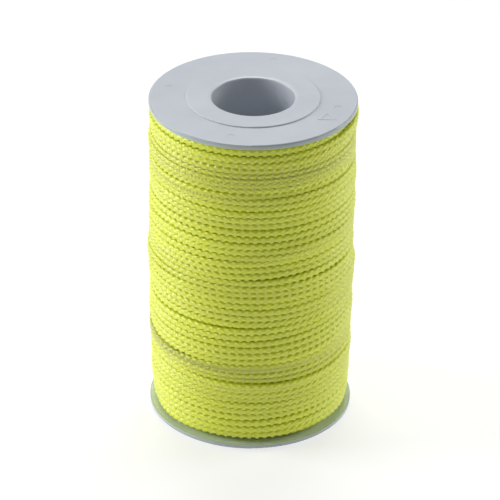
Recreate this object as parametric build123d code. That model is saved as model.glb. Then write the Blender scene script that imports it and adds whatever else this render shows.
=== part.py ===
from build123d import *
import os

# Line spool: two moulded flanges whose sleeves press into a winding tube, full of braided line.
# Millimetres, +Z up along the bore, standing on the lower flange at z = 0.

# --- whole spool ---
FLANGE_D = 50.0
TOTAL_H = 84.0
BORE_D = 20.0

# --- flange moulding ---
FLANGE_T = 1.15          # disc, without the boss
BOSS_D = 32.0            # shallow raised disc round the bore
BOSS_H = 0.3
RIM_ROUND = 0.35
BOSS_ROUND = 0.12
LIP_ROUND = 0.5          # rounded mouth of the bore
SLEEVE_D = 22.2
SLEEVE_L = 15.0
SLEEVE_LEAD = 0.35       # lead-in chamfer at the sleeve's free end
ROOT_ROUND = 0.3         # between the sleeve and the disc
RIB_COUNT = 6            # crush ribs that bite into the tube
RIB_W = 0.8
RIB_R = 11.27            # outer radius of a crush rib
RIB_ROOT = 0.4           # how far it reaches into the sleeve
RIB_START = 2.0          # from the disc's inner face
RIB_L = 10.0

# --- moulded marks on the boss side of the disc ---
PIN_MARK_D = 2.0         # ejector pin marks, sunk
PIN_MARK_R = 20.8
PIN_MARK_COUNT = 4
PIN_MARK_DEEP = 0.06
PIN_MARK_TURN = -76.0
MARK_R = 20.1            # a plain raised three-sided outline
MARK_REACH = 2.6         # from its centre to a corner
MARK_WALL = 0.9          # less reach on the inner outline
MARK_H = 0.08
MARK_SINK = 0.05         # how far it reaches into the disc
MARK_TURN = 30.0

# --- winding tube ---
TUBE_D = 24.4
TUBE_BORE_D = 22.4
TUBE_GAP = 0.05          # at each end, to the flange
TUBE_LEAD = 0.45         # chamfer inside each end

# --- wound line, outside radius at each height above the lower flange's inner face ---
WINDING_GAP = 0.05
WINDING_PROFILE = (
    (0.00, 23.7), (0.04, 24.2), (0.10, 24.7), (0.20, 24.95), (0.50, 25.05),
    (0.80, 25.0), (0.92, 24.95), (0.97, 24.85), (1.00, 24.7),
)

THICKNESS = FLANGE_T + BOSS_H
INNER_LOW = THICKNESS
INNER_HIGH = TOTAL_H - THICKNESS


def crush_ribs():
    """Six thin ribs along the sleeve, for a flange lying with its boss face at z = 0."""
    ribs = Part()
    reach = RIB_R - SLEEVE_D / 2 + RIB_ROOT
    for k in range(RIB_COUNT):
        turn = Rot(0, 0, 360 / RIB_COUNT * k)
        place = Pos(RIB_R - reach / 2, 0, THICKNESS + RIB_START + RIB_L / 2)
        ribs += turn * place * Box(reach, RIB_W, RIB_L)
    return ribs


def moulded_mark():
    """A plain raised triangle outline, standing on the disc's outer face."""
    outline = RegularPolygon(MARK_REACH, 3) - RegularPolygon(MARK_REACH - MARK_WALL, 3)
    turn = Rot(0, 0, MARK_TURN)
    return turn * Pos(MARK_R, 0, BOSS_H - MARK_H) * extrude(outline, MARK_H + MARK_SINK)


def flange():
    """One moulding, boss face down at z = 0, sleeve pointing up."""
    half = [
        (BORE_D / 2, 0), (BOSS_D / 2, 0), (BOSS_D / 2, BOSS_H), (FLANGE_D / 2, BOSS_H),
        (FLANGE_D / 2, THICKNESS), (SLEEVE_D / 2, THICKNESS),
        (SLEEVE_D / 2, THICKNESS + SLEEVE_L), (BORE_D / 2, THICKNESS + SLEEVE_L),
    ]
    rounds = {0: LIP_ROUND, 1: BOSS_ROUND, 3: RIM_ROUND, 4: RIM_ROUND, 5: ROOT_ROUND}
    with BuildPart() as moulding:
        with BuildSketch(Plane.XZ) as profile:
            with BuildLine():
                Polyline(*half, close=True)
            make_face()
            for index, radius in rounds.items():
                x, y = half[index]
                corner = profile.vertices().sort_by_distance((x, 0, y))[0]
                fillet(corner, radius)
            tip = profile.vertices().sort_by_distance((SLEEVE_D / 2, 0, THICKNESS + SLEEVE_L))[0]
            chamfer(tip, SLEEVE_LEAD)
        revolve(axis=Axis.Z)
    solid = moulding.part + crush_ribs()
    for k in range(PIN_MARK_COUNT):
        turn = Rot(0, 0, PIN_MARK_TURN + 360 / PIN_MARK_COUNT * k)
        pin = Cylinder(PIN_MARK_D / 2, 2 * PIN_MARK_DEEP)
        solid -= turn * Pos(PIN_MARK_R, 0, BOSS_H) * pin
    return solid + moulded_mark()


def core_tube():
    """Plain tube between the flanges that the line is wound on."""
    length = INNER_HIGH - INNER_LOW - 2 * TUBE_GAP
    tube = Cylinder(TUBE_D / 2, length) - Cylinder(TUBE_BORE_D / 2, length)
    inner = tube.edges().filter_by(GeomType.CIRCLE).sort_by(lambda e: e.radius)[:2]
    return Pos(0, 0, TOTAL_H / 2) * chamfer(inner, TUBE_LEAD)


def line_winding():
    """The outer shape of the wound line: one closed ring with a crowned side and soft shoulders."""
    low, high = INNER_LOW + WINDING_GAP, INNER_HIGH - WINDING_GAP
    inside = TUBE_D / 2 + WINDING_GAP
    side = [(r, low + (high - low) * t) for t, r in WINDING_PROFILE]
    with BuildPart() as ring:
        with BuildSketch(Plane.XZ):
            with BuildLine():
                Spline(*side)
                Polyline(side[-1], (inside, high), (inside, low), side[0])
            make_face()
        revolve(axis=Axis.Z)
    return ring.part


def spool():
    lower = flange()
    upper = Pos(0, 0, TOTAL_H) * Rot(180, 0, 0) * flange()
    return {
        "lower_flange": lower,
        "upper_flange": upper,
        "core_tube": core_tube(),
        "line_winding": line_winding(),
    }


os.makedirs("parts", exist_ok=True)
for node, shape in spool().items():
    export_step(shape, f"parts/{node}.step")
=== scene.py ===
import math

import bpy
import numpy as np
from mathutils import Matrix, Vector


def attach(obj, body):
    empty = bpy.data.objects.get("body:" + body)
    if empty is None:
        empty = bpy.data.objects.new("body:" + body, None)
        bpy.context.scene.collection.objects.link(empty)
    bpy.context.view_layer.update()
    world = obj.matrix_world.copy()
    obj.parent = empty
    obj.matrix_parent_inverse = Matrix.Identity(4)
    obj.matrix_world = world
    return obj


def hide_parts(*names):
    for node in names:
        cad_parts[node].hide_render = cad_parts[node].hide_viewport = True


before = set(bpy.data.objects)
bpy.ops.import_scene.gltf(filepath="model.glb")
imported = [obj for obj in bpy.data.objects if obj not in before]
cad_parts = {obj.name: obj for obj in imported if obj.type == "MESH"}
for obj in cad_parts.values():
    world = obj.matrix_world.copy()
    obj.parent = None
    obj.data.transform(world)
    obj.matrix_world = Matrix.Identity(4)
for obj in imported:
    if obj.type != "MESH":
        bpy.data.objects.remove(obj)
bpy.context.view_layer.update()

# ---------------------------------------------------------------- the CAD part's sizes, in metres
TOTAL_H = 0.084
FLANGE_R = 0.025
INNER_LOW = 0.00145                 # height of the lower flange's inner face
INNER_HIGH = TOTAL_H - INNER_LOW    # and of the upper flange's
TUBE_R = 0.0122                     # outside of the tube that the line is wound on
LINE_D = 0.0017

# ---------------------------------------------------------------- camera
CAMERA_TILT = math.radians(29.36)   # how far it looks down
CAMERA_ROLL = math.radians(0.6)
CAMERA_AWAY = 0.7855                # from the middle of the spool
CAMERA_ASIDE = 0.0004
LENS_MM, SENSOR_MM = 231.3, 36


def camera():
    ahead = Vector((0, math.cos(CAMERA_TILT), -math.sin(CAMERA_TILT)))
    right, up = Vector((1, 0, 0)), Vector((0, math.sin(CAMERA_TILT), math.cos(CAMERA_TILT)))
    right, up = (right * math.cos(CAMERA_ROLL) + up * math.sin(CAMERA_ROLL),
                 up * math.cos(CAMERA_ROLL) - right * math.sin(CAMERA_ROLL))
    cam = bpy.data.objects.new("camera", bpy.data.cameras.new("camera"))
    bpy.context.scene.collection.objects.link(cam)
    cam.data.sensor_width = SENSOR_MM
    cam.data.lens = LENS_MM
    cam.data.clip_start, cam.data.clip_end = 0.05, 20
    place = Vector((0, 0, TOTAL_H / 2)) - ahead * CAMERA_AWAY - right * CAMERA_ASIDE
    turn = Matrix((right, up, -ahead)).transposed().to_4x4()
    cam.matrix_world = Matrix.Translation(place) @ turn
    bpy.context.scene.camera = cam


# ---------------------------------------------------------------- the winding
STEPS = 72              # places on each turn where the winding is worked out
LAYERS = 9
PITCH = 0.00160         # along the tube, from turn to turn
NEST = 0.00146          # how close two turns lie when one rests on another
SIDE = (                # outside radius against height between the flanges
    (0.0, 0.0237), (0.04, 0.0242), (0.10, 0.0247), (0.20, 0.0249), (0.50, 0.0250),
    (0.80, 0.0249), (0.92, 0.0249), (0.97, 0.0248), (1.0, 0.0247))
EDGE_LOW = (0, 0, 0, 0, 0, 0.1, 0.2, 0.4, 0.9)      # mm each layer stops short of the lower flange
EDGE_HIGH = (0, 0, 0, 0, 0, 0.1, 0.1, 0.1, 0.1)     # and of the upper one
END_GAP = 0.00005       # between a flange and the turn nearest to it

WIND_SEED = 11
DRAWN_TURNS = 480       # turns that random numbers are drawn for, a few more than are wound
WANDER = 0.00012        # how far one turn strays from the winder's guide
WANDER_TURN = 0.3       # part of a turn over which it strays
SWELL = 0.00009         # how far a turn stands out or in
SWELL_TURN = 0.5
BAND = 0.00070          # how far a band of turns leans together
BAND_TURN = 0.12
BAND_WIDTH = 3.0        # turns side by side that lean the same way

NEAR_TURNS = 110        # turns that may lie under the one being wound, the last two layers
SLIPS = np.linspace(-0.4, 0.4, 9) * LINE_D          # sideways slips tried for a place to rest
SLIP_COST = 0.15        # how unwilling the line is to slip
SLIP_BLUR = 3.0         # steps over which a slip is evened out
EASE = 0.7              # how far a turn follows the humps of the turns under it
EASE_TURN = 0.2         # part of a turn over which a hump is told from the layer's general rise
EASE_LOW, EASE_HIGH = -0.00030, 0.00040
FIRST_LAYER_PART = 0.3  # how much of all this unevenness the first layer has

ROUTE_BLUR_Z, ROUTE_BLUR_R = 2.2, 2.0   # steps over which the finished route is evened out
END_ANGLE = math.radians(110)           # where round the spool both ends of the line lie
TUCK = 40               # steps over which the outer end dives under its neighbours
TUCK_ALONG = 1.6        # how far along the tube, in pitches
TUCK_IN = 1.5           # how far towards the tube, in line diameters


def smooth(values, sigma):
    reach = int(4 * sigma) + 1
    kernel = np.exp(-0.5 * (np.arange(-reach, reach + 1) / sigma) ** 2)
    return np.convolve(np.pad(values, reach, mode="edge"), kernel / kernel.sum(), mode="valid")


def support(height, turns_z, turns_r):
    """Radius at which a line at this height rests on the turns under it, step by step."""
    rest = np.full(STEPS, TUBE_R + LINE_D / 2)
    if len(turns_z):
        apart = np.abs(turns_z - height)
        on = np.where(apart < NEST, turns_r + np.sqrt(np.maximum(NEST ** 2 - apart ** 2, 0)), 0)
        rest = np.maximum(rest, on.max(0))
    return rest


def layer_radius(layer, height):
    """Radius of a layer's centre line, with the layers spread evenly from the tube to SIDE."""
    t = (height - INNER_LOW) / (INNER_HIGH - INNER_LOW)
    outer = np.interp(t, [s[0] for s in SIDE], [s[1] for s in SIDE]) - LINE_D / 2
    first = TUBE_R + LINE_D / 2
    return first + (outer - first) * layer / (LAYERS - 1)


def wind():
    """Heights and radii of the line's centre, turn by turn, and each layer's first turn."""
    rng = np.random.default_rng(WIND_SEED)
    stray = smooth(rng.normal(size=STEPS * DRAWN_TURNS), STEPS * WANDER_TURN)
    stray *= WANDER / stray.std()
    swell = smooth(rng.normal(size=STEPS * DRAWN_TURNS), STEPS * SWELL_TURN)
    swell *= SWELL / swell.std()
    bands = smooth(rng.normal(size=STEPS * DRAWN_TURNS), STEPS * BAND_TURN).reshape(-1, STEPS)
    bands = np.stack([smooth(column, BAND_WIDTH) for column in bands.T], 1)
    bands *= BAND / bands.std()
    low_limit = INNER_LOW + LINE_D / 2 + END_GAP
    high_limit = INNER_HIGH - LINE_D / 2 - END_GAP
    turns_z, turns_r, starts = [], [], [0]
    z, way, layer = low_limit, 1, 0
    while True:
        k = len(turns_z)
        own = slice(k * STEPS, (k + 1) * STEPS)
        low = low_limit + EDGE_LOW[layer] * 1e-3
        high = high_limit - EDGE_HIGH[layer] * 1e-3
        guide = z + way * PITCH * np.arange(STEPS) / STEPS
        z += way * PITCH
        turned = z > high if way > 0 else z < low
        guide = np.clip(guide + bands[k], low, high) + stray[own]
        near_z, near_r = np.array(turns_z[-NEAR_TURNS:]), np.array(turns_r[-NEAR_TURNS:])
        tries = [np.clip(guide + slip, low_limit, high_limit) for slip in SLIPS]
        costs = [support(y, near_z, near_r) + SLIP_COST * slip ** 2 / LINE_D
                 for y, slip in zip(tries, SLIPS)]
        y = smooth(np.choose(np.argmin(costs, axis=0), tries), SLIP_BLUR)
        rest = support(y, near_z, near_r)
        ease = rest - smooth(rest, STEPS * EASE_TURN)
        part = min(1.0, FIRST_LAYER_PART + (1 - FIRST_LAYER_PART) * layer / (LAYERS - 1))
        r = layer_radius(layer, y) + part * np.clip(EASE * ease, EASE_LOW, EASE_HIGH)
        r += part * swell[own]
        turns_z.append(y)
        turns_r.append(r)
        if turned:
            if layer == LAYERS - 1:
                break
            z, way, layer = (high if way > 0 else low), -way, layer + 1
            starts.append(len(turns_z))
    return np.array(turns_z), np.array(turns_r), starts


def line_route(turns_z, turns_r):
    """One continuous centreline: angle round the tube, radius and height at each step."""
    z = smooth(turns_z.ravel(), ROUTE_BLUR_Z)
    r = smooth(turns_r.ravel(), ROUTE_BLUR_R)
    dive = np.clip((np.arange(len(z)) - len(z) + TUCK) / TUCK, 0, 1)
    dive = dive * dive * (3 - 2 * dive)
    z -= TUCK_ALONG * PITCH * dive
    r -= TUCK_IN * LINE_D * dive
    return np.arange(len(z)) / STEPS * 2 * math.pi + END_ANGLE, r, z


# ---------------------------------------------------------------- the line's mesh
CORE_R = 0.00056        # the plain core that runs the whole length, inside the braid too
CORE_SIDES = 6
CORE_STEP = 0.0033      # from ring to ring along the line

PICK = 0.00188          # length of one braid stitch along the line
CARRIERS = 4            # strands each way round the line
BRAID_LOW = 0.00055     # radius in the hollows between strands
BRAID_RISE = 0.00032    # height of a strand over that
CROWN = 2.4             # how flat a strand's top is across
ARCH = 0.8              # how quickly it rises from under the strand that crosses it
CREST_DEPTH = 0.80      # how much of the relief is left on the line's outer side, pressed flat
CREST_FROM, CREST_OVER = 0.25, 0.6      # angle round the line where that ends, in radians
SQUARE = 5.5            # how far its neighbours press the line's section square (2 is round)
SPREAD = 1.18           # how far its own tension spreads the soft line sideways
TWIST = 0.15            # how far the braid turns about the line, in radians
TWIST_LENGTH = 0.03     # length of line over which it turns

OUTER_PIECES, OUTER_STEP, OUTER_SEED = 6, 0.00024, 100
OUTER_ANGLES = np.radians([-150, -104, -78, -56, -36, -18, 0, 18, 36, 56, 78, 104, 150])
UNDER_PIECES, UNDER_STEP, UNDER_SEED = 2, 0.0006, 200
UNDER_ANGLES = np.radians([-160, -100, -64, -32, 0, 32, 64, 100])


def finer(angle, r, z, start, stop, step):
    """The route between two step numbers, with a ring about every step metres."""
    count = int((stop - start) / STEPS * 2 * math.pi * r[start:stop].mean() / step)
    at = np.linspace(start, stop - 1, count)
    soft = max(1.0, 0.6 * count / (stop - start))
    return (np.interp(at, np.arange(len(angle)), angle),
            smooth(np.interp(at, np.arange(len(r)), r), soft),
            smooth(np.interp(at, np.arange(len(z)), z), soft))


def sections(angle, r, z):
    """Centres, outward directions and sideways directions of the line's rings."""
    c = np.stack([r * np.cos(angle), r * np.sin(angle), z], 1)
    ahead = np.gradient(c, axis=0)
    ahead /= np.linalg.norm(ahead, axis=1)[:, None]
    out = np.stack([np.cos(angle), np.sin(angle), np.zeros_like(angle)], 1)
    out -= ahead * (out * ahead).sum(1)[:, None]
    out /= np.linalg.norm(out, axis=1)[:, None]
    return c, out, np.cross(ahead, out)


def mesh_piece(name, points, quads, finish, attributes=None):
    mesh = bpy.data.meshes.new(name)
    sides = quads.shape[1]
    mesh.vertices.add(len(points))
    mesh.vertices.foreach_set("co", np.asarray(points, np.float32).ravel())
    mesh.loops.add(quads.size)
    mesh.loops.foreach_set("vertex_index", quads.astype(np.int32).ravel())
    mesh.polygons.add(len(quads))
    mesh.polygons.foreach_set("loop_start", np.arange(0, quads.size, sides, dtype=np.int32))
    mesh.polygons.foreach_set("loop_total", np.full(len(quads), sides, np.int32))
    mesh.update(calc_edges=True)
    mesh.shade_smooth()
    for key, values in (attributes or {}).items():
        stored = mesh.attributes.new(key, "FLOAT", "POINT")
        stored.data.foreach_set("value", values.astype(np.float32).ravel())
    mesh.materials.append(finish)
    piece = bpy.data.objects.new(name, mesh)
    bpy.context.scene.collection.objects.link(piece)
    return piece


def tube_quads(rings, around):
    """Outward faces between rings of points, each ring of so many points around."""
    ring = np.arange(rings - 1)[:, None] * around
    k = np.arange(around)[None, :]
    n = (k + 1) % around
    quads = np.stack([ring + k, ring + n, ring + around + n, ring + around + k], 2)
    return quads.reshape(-1, 4)[:, ::-1]


def capped(c, p):
    """The points of the rings, with a ring closed to a point at each end of the line."""
    ends = [np.repeat(c[at, None], p.shape[1], 1) for at in ([0], [-1])]
    return np.concatenate([ends[0], p, ends[1]]).reshape(-1, 3)


def braid_height(along, round_, roll):
    """Height from 0 to 1 of a one-over-one braid, which way the strand on top runs, and
    where the point lies across the strands of each way."""
    turn = CARRIERS * (round_ + roll) / (2 * math.pi)
    a, b = turn + along / PICK, turn - along / PICK
    first = (np.floor(a) + np.floor(b)) % 2 == 0
    fa, fb = a - np.floor(a), b - np.floor(b)
    across = np.where(first, fa, fb)
    lengthwise = np.where(first, fb, fa)
    crown = 1 - np.abs(2 * across - 1) ** CROWN
    arch = np.sin(math.pi * lengthwise) ** ARCH
    return crown * arch, first.astype(float), a, b


def braided(name, route, start, stop, step, round_angles, finish, seed):
    """The line between two steps of the route, with its braid."""
    c, out, aside = sections(*finer(*route, start, stop, step))
    along = np.concatenate([[0], np.cumsum(np.linalg.norm(np.diff(c, axis=0), axis=1))])
    rng = np.random.default_rng(seed)
    roll = smooth(rng.normal(size=len(c)), TWIST_LENGTH / step)
    roll *= TWIST / max(roll.std(), 1e-9)
    v = round_angles[None, :]
    h, first, a, b = braid_height(along[:, None], v, roll[:, None])
    off_crest = np.clip((np.abs(v) - CREST_FROM) / CREST_OVER, 0, 1)
    h = 1 - (CREST_DEPTH + (1 - CREST_DEPTH) * off_crest) * (1 - h)
    press = (np.abs(np.cos(v)) ** SQUARE + np.abs(np.sin(v)) ** SQUARE) ** (-1 / SQUARE)
    rho = (BRAID_LOW + BRAID_RISE * h) * press
    p = (c[:, None, :] + (rho * np.cos(v))[..., None] * out[:, None, :]
         + (rho * np.sin(v) * SPREAD)[..., None] * aside[:, None, :])
    shown = {"rise": h, "first": first, "strand_a": a, "strand_b": b}
    shown = {key: np.pad(values, ((1, 1), (0, 0)), "edge") for key, values in shown.items()}
    return mesh_piece(name, capped(c, p), tube_quads(len(c) + 2, v.size), finish, shown)


def braided_turns(name, route, first_turn, last_turn, pieces, step, round_angles, finish, seed):
    """These turns of the winding with their braid, cut into several pieces."""
    cuts = np.linspace(first_turn, last_turn, pieces + 1).round().astype(int) * STEPS
    return [braided(f"{name}_{k + 1}", route, cuts[k], min(cuts[k + 1] + 1, len(route[0])),
                    step, round_angles, finish, seed + k) for k in range(pieces)]


def plain_line(name, route, step, around, radius, finish):
    """The whole line as a plain tube, and its centreline."""
    c, out, aside = sections(*finer(*route, 0, len(route[0]), step))
    v = np.arange(around) / around * 2 * math.pi
    p = (c[:, None, :] + radius * np.cos(v)[None, :, None] * out[:, None, :]
         + radius * np.sin(v)[None, :, None] * aside[:, None, :])
    return mesh_piece(name, capped(c, p), tube_quads(len(c) + 2, around), finish), c


# ---------------------------------------------------------------- materials
LINE_COLOURS = (        # from the hollows of the braid to its crests; painted light and shade: hollows painted lighter and greener against their shade, crests painted paler
    (0.10, (0.735, 0.86, 0.030)), (0.45, (0.70, 0.79, 0.030)), (0.95, (0.76, 0.835, 0.048)))
CORE_PAINTED_SHADE = 0.8        # the core's colour beside the braid's, darker as painted shade where it shows deep in the gaps
FILAMENTS = 7           # fine ridges across one strand
FLANGE_COLOURS = (      # slight clouds in the moulding
    (0.3, (0.555, 0.59, 0.645)), (0.7, (0.60, 0.635, 0.69)))
FLANGE_ROUGH = 0.26, 0.38
PAINTED_BOUNCE_TINT = (1.10, 1.18, 0.90)              # painted yellow-green light, bounced from the line onto the flanges' inner faces beside it
BOUNCE_NONE, BOUNCE_FULL = 0.0409, 0.0406     # heights from the spool's middle
BOUNCE_R_NONE, BOUNCE_R_FULL = TUBE_R - 0.0004, TUBE_R
RIM_PAINTED_SHADE = (0.70, 0.73, 0.68)           # tint of the flanges' edges: painted shade, darker than their faces
RIM_R_NONE, RIM_R_FULL = FLANGE_R - 0.0004, FLANGE_R - 0.0001


def new_material(name):
    m = bpy.data.materials.new(name)
    m.use_nodes = True
    return m, m.node_tree, m.node_tree.nodes["Principled BSDF"]


def set_inputs(n, values):
    for key, value in values.items():
        n.inputs[key].default_value = value


def node(tree, kind, **values):
    """A new node, with these properties and inputs."""
    n = tree.nodes.new(kind)
    for key, value in values.items():
        if hasattr(n, key):
            setattr(n, key, value)
        else:
            n.inputs[key].default_value = value
    return n


def attribute(tree, name):
    return node(tree, "ShaderNodeAttribute", attribute_name=name).outputs["Fac"]


def noise(tree, place, **values):
    n = node(tree, "ShaderNodeTexNoise", **values)
    tree.links.new(place, n.inputs["Vector"])
    return n.outputs["Fac"]


def scaled(tree, place, scale):
    n = node(tree, "ShaderNodeMapping", Scale=scale)
    tree.links.new(place, n.inputs["Vector"])
    return n.outputs[0]


def ramp(tree, source, stops):
    n = tree.nodes.new("ShaderNodeValToRGB")
    elements = n.color_ramp.elements
    for element, (at, colour) in zip(elements, (stops[0], stops[-1])):
        element.position, element.color = at, (*colour, 1)
    for at, colour in stops[1:-1]:
        elements.new(at).color = (*colour, 1)
    tree.links.new(source, n.inputs[0])
    return n.outputs[0]


def maths(tree, operation, a, b=0.0):
    n = tree.nodes.new("ShaderNodeMath")
    n.operation = operation
    for socket, value in zip(n.inputs, (a, b)):
        if isinstance(value, (int, float)):
            socket.default_value = value
        else:
            tree.links.new(value, socket)
    return n.outputs[0]


def fade(tree, source, start, end, low=0.0, high=1.0):
    """low where source is at start or before, high where it is at end or past it."""
    n = tree.nodes.new("ShaderNodeMapRange")
    set_inputs(n, {"From Min": start, "From Max": end, "To Min": low, "To Max": high})
    tree.links.new(source, n.inputs["Value"])
    return n.outputs[0]


def tinted(tree, colour, amount, tint):
    n = node(tree, "ShaderNodeMix", data_type="RGBA", blend_type="MULTIPLY")
    n.inputs[7].default_value = (*tint, 1)
    tree.links.new(amount, n.inputs[0])
    tree.links.new(colour, n.inputs[6])
    return n.outputs[2]


def bumped(tree, shader, height, strength, distance):
    n = node(tree, "ShaderNodeBump", Strength=strength, Distance=distance)
    tree.links.new(height, n.inputs["Height"])
    tree.links.new(n.outputs[0], shader.inputs["Normal"])


def line_material(name, painted_shade=1.0):
    """Bright braided line: painted light and shade by the braid's height, paler on its strands and
    lighter in the hollows, with the fine ridges of their filaments.
    """
    m, tree, shader = new_material(name)
    rise = attribute(tree, "rise")
    place = tree.nodes.new("ShaderNodeTexCoord").outputs["Object"]
    drift = noise(tree, place, Scale=160.0, Detail=3.0)
    # painted light and shade: the braid's colour follows its height, lighter in the hollows and
    # paler on the crests
    level = maths(tree, "ADD", maths(tree, "MULTIPLY", rise, 0.8),
                  maths(tree, "MULTIPLY", drift, 0.25))
    # painted shade: the core's copy of this material is darkened by this factor
    stops = [(at, tuple(painted_shade * c for c in colour)) for at, colour in LINE_COLOURS]
    tree.links.new(ramp(tree, level, stops), shader.inputs["Base Color"])
    mix = node(tree, "ShaderNodeMix")
    tree.links.new(attribute(tree, "first"), mix.inputs[0])
    for at, key in ((2, "strand_b"), (3, "strand_a")):
        lanes = maths(tree, "MULTIPLY", attribute(tree, key), 2 * math.pi * FILAMENTS)
        tree.links.new(maths(tree, "SINE", lanes), mix.inputs[at])
    bumped(tree, shader, mix.outputs[0], 0.25, 0.00004)
    set_inputs(shader, {
        "Roughness": 0.30, "Specular IOR Level": 0.85,
        "Subsurface Weight": 0.7, "Subsurface Radius": (0.0020, 0.0020, 0.0007),
        "Subsurface Scale": 1.0, "Sheen Weight": 0.15, "Sheen Roughness": 0.4})
    return m


def flange_material():
    """Satin moulded plastic, with painted yellow-green bounce light from the line on the flanges'
    inner faces and painted shade on their rims.
    """
    m, tree, shader = new_material("flange_plastic")
    place = tree.nodes.new("ShaderNodeTexCoord").outputs["Object"]
    cloud = noise(tree, place, Scale=90.0, Detail=4.0, Roughness=0.55)
    colour = ramp(tree, cloud, FLANGE_COLOURS)
    height = tree.nodes.new("ShaderNodeSeparateXYZ")
    tree.links.new(place, height.inputs[0])
    away = maths(tree, "ABSOLUTE", maths(tree, "SUBTRACT", height.outputs[2], TOTAL_H / 2))
    radius = node(tree, "ShaderNodeVectorMath", operation="LENGTH")
    tree.links.new(scaled(tree, place, (1, 1, 0)), radius.inputs[0])
    radius = radius.outputs["Value"]
    # painted light: the line's yellow-green bounce on the flanges' inner faces, beside the line
    bounce_lit = maths(tree, "MULTIPLY", fade(tree, away, BOUNCE_NONE, BOUNCE_FULL),
                    fade(tree, radius, BOUNCE_R_NONE, BOUNCE_R_FULL))
    colour = tinted(tree, colour, bounce_lit, PAINTED_BOUNCE_TINT)
    # painted shade on the flanges' rims
    colour = tinted(tree, colour, fade(tree, radius, RIM_R_NONE, RIM_R_FULL), RIM_PAINTED_SHADE)
    tree.links.new(colour, shader.inputs["Base Color"])
    bumped(tree, shader, noise(tree, place, Scale=2600.0, Detail=3.0), 0.12, 0.00005)
    tree.links.new(fade(tree, cloud, 0.0, 1.0, *FLANGE_ROUGH), shader.inputs["Roughness"])
    set_inputs(shader, {
        "Subsurface Weight": 0.25, "Subsurface Radius": (0.0012, 0.0012, 0.0010),
        "Subsurface Scale": 1.0})
    return m


# ---------------------------------------------------------------- make the camera and the line
camera()

turns_z, turns_r, starts = wind()
route = line_route(turns_z, turns_r)
braid = line_material("line_braid")
# the core wears the line's colour darkened, as painted shade
line, path = plain_line("line", route, CORE_STEP, CORE_SIDES, CORE_R,
                        line_material("line_core", CORE_PAINTED_SHADE))
surface = [
    *braided_turns("line_surface", route, starts[-1], len(turns_z), OUTER_PIECES, OUTER_STEP,
                   OUTER_ANGLES, braid, OUTER_SEED),
    *braided_turns("line_under", route, starts[-2], starts[-1], UNDER_PIECES, UNDER_STEP,
                   UNDER_ANGLES, braid, UNDER_SEED)]

for piece in [line, *surface]:
    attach(piece, "root")
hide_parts("line_winding")

# ---------------------------------------------------------------- the plastic pieces
plastic = flange_material()
for name in ("lower_flange", "upper_flange", "core_tube"):
    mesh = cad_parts[name].data
    mesh.materials.clear()
    mesh.materials.append(plastic)
    mesh.shade_smooth()
    mesh.set_sharp_from_angle(angle=math.radians(35))

# ---------------------------------------------------------------- floor and light
FLOOR_HALF = 4.0
FLOOR_GREY = 0.50
GLOW_R = 0.30                           # the floor glows a little, most near the spool
GLOW = ((0.0, (0.42,) * 3), (0.75, (0.60,) * 3))
WORLD_WHITE = 0.22
AIM = (0, 0, 0.045)
LIGHTS = (                              # name, place, size, power
    ("left", (-0.83, 0.07, 0.30), (0.4, 0.6), 6.4),
    ("right", (0.80, 0.27, 0.28), (0.4, 0.6), 3.3),
    ("top", (0, 0.50, 0.85), (0.6, 0.5), 4.9))


def area(name, place, size, power):
    lamp = bpy.data.lights.new(name, "AREA")
    lamp.shape, lamp.size, lamp.size_y = "RECTANGLE", size[0], size[1]
    lamp.energy = power
    holder = bpy.data.objects.new(name, lamp)
    bpy.context.scene.collection.objects.link(holder)
    holder.location = place
    holder.rotation_euler = (Vector(AIM) - Vector(place)).to_track_quat("-Z", "Y").to_euler()


def floor_material():
    m, tree, shader = new_material("floor")
    set_inputs(shader, {
        "Base Color": (FLOOR_GREY, FLOOR_GREY, FLOOR_GREY, 1), "Roughness": 0.9,
        "Specular IOR Level": 0.1, "Emission Strength": 1.0})
    place = tree.nodes.new("ShaderNodeTexCoord").outputs["Object"]
    ball = node(tree, "ShaderNodeTexGradient", gradient_type="SPHERICAL")
    tree.links.new(scaled(tree, place, (1 / GLOW_R, 1 / GLOW_R, 1)), ball.inputs["Vector"])
    tree.links.new(ramp(tree, ball.outputs["Fac"], GLOW), shader.inputs["Emission Color"])
    return m


floor_mesh = bpy.data.meshes.new("floor")
corners = [(x * FLOOR_HALF, y * FLOOR_HALF, 0) for x, y in ((-1, -1), (1, -1), (1, 1), (-1, 1))]
floor_mesh.from_pydata(corners, [], [(0, 1, 2, 3)])
floor_mesh.materials.append(floor_material())
floor = bpy.data.objects.new("floor", floor_mesh)
bpy.context.scene.collection.objects.link(floor)

world = bpy.data.worlds.new("studio")
bpy.context.scene.world = world
world.use_nodes = True
world.node_tree.nodes["Background"].inputs[0].default_value = (1, 1, 1, 1)
world.node_tree.nodes["Background"].inputs[1].default_value = WORLD_WHITE
bpy.context.scene.view_settings.view_transform = "Standard"
for light in LIGHTS:
    area(*light)
